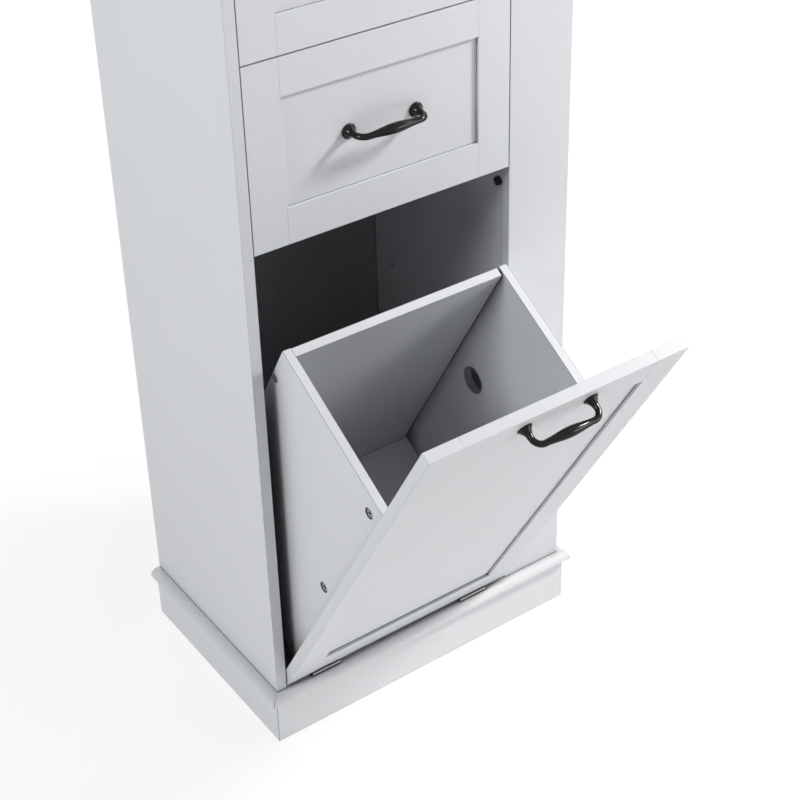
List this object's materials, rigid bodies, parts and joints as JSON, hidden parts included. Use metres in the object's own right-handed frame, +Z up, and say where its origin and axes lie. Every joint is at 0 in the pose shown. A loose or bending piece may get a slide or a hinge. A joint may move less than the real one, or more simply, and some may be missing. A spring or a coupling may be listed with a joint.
{
  "type": "tilt-out laundry cabinet",
  "caption": "Narrow painted cabinet with framed drawers above a door that tilts out with a hamper box, on a plinth with a rounded moulding.",
  "frame": {"origin": "on the floor, at mid width, straight below the flush front face of the drawers and stile", "axes": "+Z up, -Y out of the front, +X to the right as seen from in front"},
  "size_m": [0.521, 0.6887, 1.2567],
  "materials": {
    "carcass_paint": "matt pale grey paint on board",
    "front_paint": "matt pale grey paint on framed fronts",
    "back_board": "thin painted board",
    "drawer_board": "white laminated board",
    "runner_zinc": "zinc plated",
    "hinge_steel": "satin nickel",
    "cam_zinc": "cast zinc",
    "screw_zinc": "zinc plated",
    "handle_black": "semi-gloss black",
    "peg_black": "moulded black plastic"
  },
  "bodies": {
    "carcass": {"left_side_panel": "carcass_paint", "right_side_panel": "carcass_paint", "bay_partition": "carcass_paint", "right_stile": "carcass_paint", "top_panel": "carcass_paint", "floor_panel": "carcass_paint", "bay_ceiling": "carcass_paint", "plinth_front": "carcass_paint", "plinth_left": "carcass_paint", "plinth_right": "carcass_paint", "plinth_back_rail": "carcass_paint", "cap_moulding_front": "carcass_paint", "cap_moulding_left": "carcass_paint", "cap_moulding_right": "carcass_paint", "back_panel": "back_board", "upper_runner_channels": "runner_zinc", "lower_runner_channels": "runner_zinc", "door_stop_pegs": "peg_black", "tilt_stop_pegs": "peg_black", "hinge_lower_leaves": "hinge_steel", "hinge_pins": "hinge_steel", "hinge_lower_screws": "screw_zinc"},
    "drawer_upper": {"upper_drawer_stiles": "front_paint", "upper_drawer_rails": "front_paint", "upper_drawer_panel": "front_paint", "upper_drawer_side_left": "drawer_board", "upper_drawer_side_right": "drawer_board", "upper_drawer_back": "drawer_board", "upper_drawer_bottom": "drawer_board", "upper_drawer_runners": "runner_zinc", "upper_drawer_handle": "handle_black", "upper_drawer_handle_screws": "screw_zinc"},
    "drawer_lower": {"lower_drawer_stiles": "front_paint", "lower_drawer_rails": "front_paint", "lower_drawer_panel": "front_paint", "lower_drawer_side_left": "drawer_board", "lower_drawer_side_right": "drawer_board", "lower_drawer_back": "drawer_board", "lower_drawer_bottom": "drawer_board", "lower_drawer_runners": "runner_zinc", "lower_drawer_handle": "handle_black", "lower_drawer_handle_screws": "screw_zinc"},
    "hamper": {"door_stiles": "front_paint", "door_rail_top": "front_paint", "door_rail_bottom": "front_paint", "door_panel": "front_paint", "hamper_side_left": "carcass_paint", "hamper_side_right": "carcass_paint", "hamper_back": "carcass_paint", "hamper_bottom": "carcass_paint", "hamper_cam_locks": "cam_zinc", "hamper_cam_bolts": "screw_zinc", "hamper_back_screws": "screw_zinc", "tilt_stop_studs": "peg_black", "hinge_upper_leaves": "hinge_steel", "hinge_upper_screws": "screw_zinc", "door_handle": "handle_black", "door_handle_screws": "screw_zinc"}
  },
  "joints": [
    {"name": "upper_drawer_slide", "type": "slide", "parent": "carcass", "child": "drawer_upper", "axis": [0, -1, 0], "range_m": [0, 0.18]},
    {"name": "lower_drawer_slide", "type": "slide", "parent": "carcass", "child": "drawer_lower", "axis": [0, -1, 0], "range_m": [0, 0.18]},
    {"name": "hamper_tilt", "type": "hinge", "parent": "carcass", "child": "hamper", "pos_m": [0, -0.0025, 0.08685], "axis": [1, 0, 0], "range_deg": [-30.5, 0]}
  ]
}
